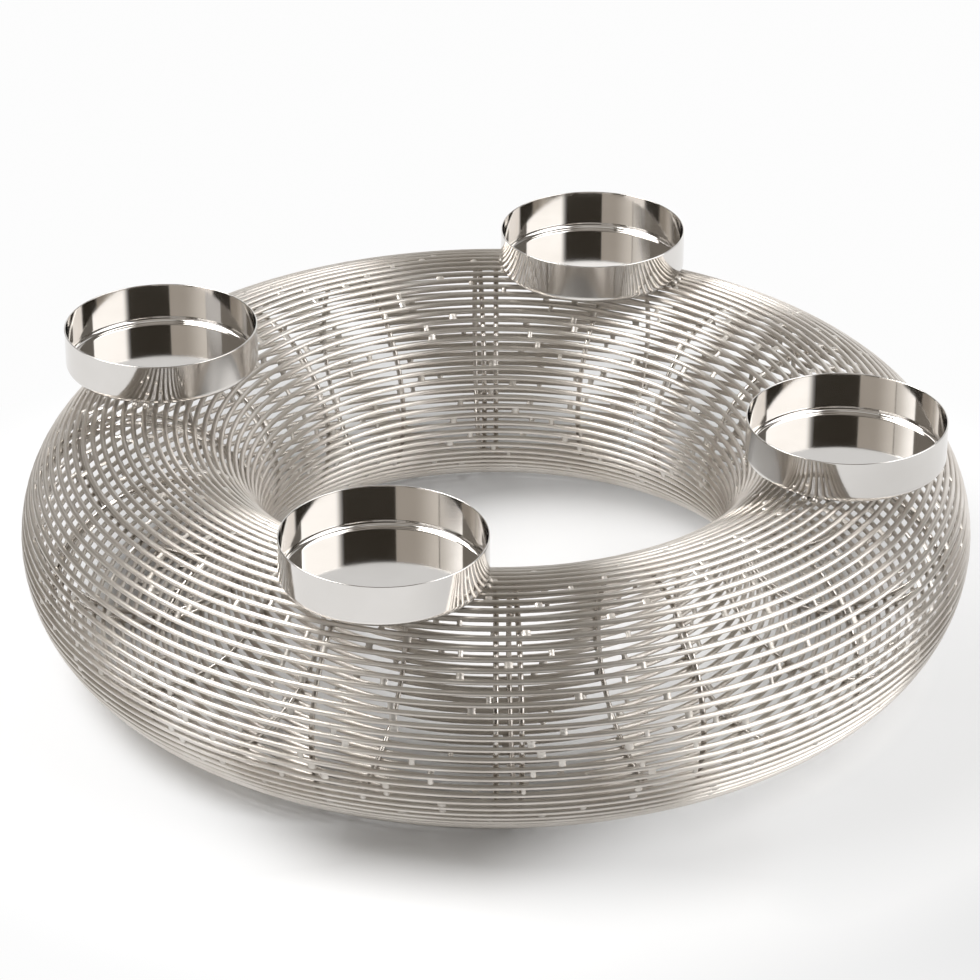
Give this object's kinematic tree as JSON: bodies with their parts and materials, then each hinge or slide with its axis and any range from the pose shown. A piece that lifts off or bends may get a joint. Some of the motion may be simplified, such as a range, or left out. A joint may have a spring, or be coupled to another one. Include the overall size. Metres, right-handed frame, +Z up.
{
  "type": "advent candle holder",
  "caption": "Ring-shaped advent candle holder: a round-section cage of welded wire rings on inner rib hoops, with shallow drawn cups for pillar candles on its crest.",
  "frame": {"origin": "centre of the cage on the table it stands on", "axes": "+Z up along the axis of the ring; -Y towards the front cup, +X towards the right-hand cup"},
  "size_m": [0.3999, 0.3998, 0.1199],
  "materials": {
    "wire_nickel": "polished nickel plate",
    "cup_nickel": "mirror-polished nickel plate",
    "solder_nickel": "plated solder"
  },
  "bodies": {
    "root": {"wire_ring_pair_01": "wire_nickel", "wire_ring_pair_02": "wire_nickel", "wire_ring_pair_03": "wire_nickel", "wire_ring_pair_04": "wire_nickel", "wire_ring_pair_05": "wire_nickel", "wire_ring_pair_06": "wire_nickel", "wire_ring_pair_07": "wire_nickel", "wire_ring_pair_08": "wire_nickel", "wire_ring_pair_09": "wire_nickel", "wire_ring_pair_10": "wire_nickel", "wire_ring_pair_11": "wire_nickel", "wire_ring_pair_12": "wire_nickel", "wire_ring_pair_13": "wire_nickel", "wire_ring_pair_14": "wire_nickel", "wire_ring_pair_15": "wire_nickel", "wire_ring_pair_16": "wire_nickel", "wire_ring_pair_17": "wire_nickel", "wire_ring_pair_18": "wire_nickel", "wire_ring_pair_19": "wire_nickel", "wire_ring_pair_20": "wire_nickel", "wire_ring_pair_21": "wire_nickel", "wire_ring_pair_22": "wire_nickel", "wire_ring_pair_23": "wire_nickel", "wire_ring_pair_24": "wire_nickel", "wire_ring_pair_25": "wire_nickel", "wire_ring_pair_26": "wire_nickel", "wire_ring_pair_27": "wire_nickel", "wire_ring_pair_28": "wire_nickel", "wire_ring_pair_29": "wire_nickel", "wire_ring_pair_30": "wire_nickel", "wire_ring_pair_31": "wire_nickel", "wire_ring_pair_32": "wire_nickel", "wire_ring_pair_33": "wire_nickel", "wire_ring_pair_34": "wire_nickel", "wire_ring_pair_35": "wire_nickel", "wire_ring_pair_36": "wire_nickel", "rib_hoop_01": "wire_nickel", "rib_hoop_02": "wire_nickel", "rib_hoop_03": "wire_nickel", "rib_hoop_04": "wire_nickel", "rib_hoop_05": "wire_nickel", "rib_hoop_06": "wire_nickel", "rib_hoop_07": "wire_nickel", "rib_hoop_08": "wire_nickel", "rib_hoop_09": "wire_nickel", "rib_hoop_10": "wire_nickel", "rib_hoop_11": "wire_nickel", "rib_hoop_12": "wire_nickel", "rib_hoop_13": "wire_nickel", "rib_hoop_14": "wire_nickel", "rib_hoop_15": "wire_nickel", "rib_hoop_16": "wire_nickel", "candle_cup_front": "cup_nickel", "candle_cup_right": "cup_nickel", "candle_cup_back": "cup_nickel", "candle_cup_left": "cup_nickel", "cup_solder_beads": "solder_nickel"}
  },
  "joints": []
}
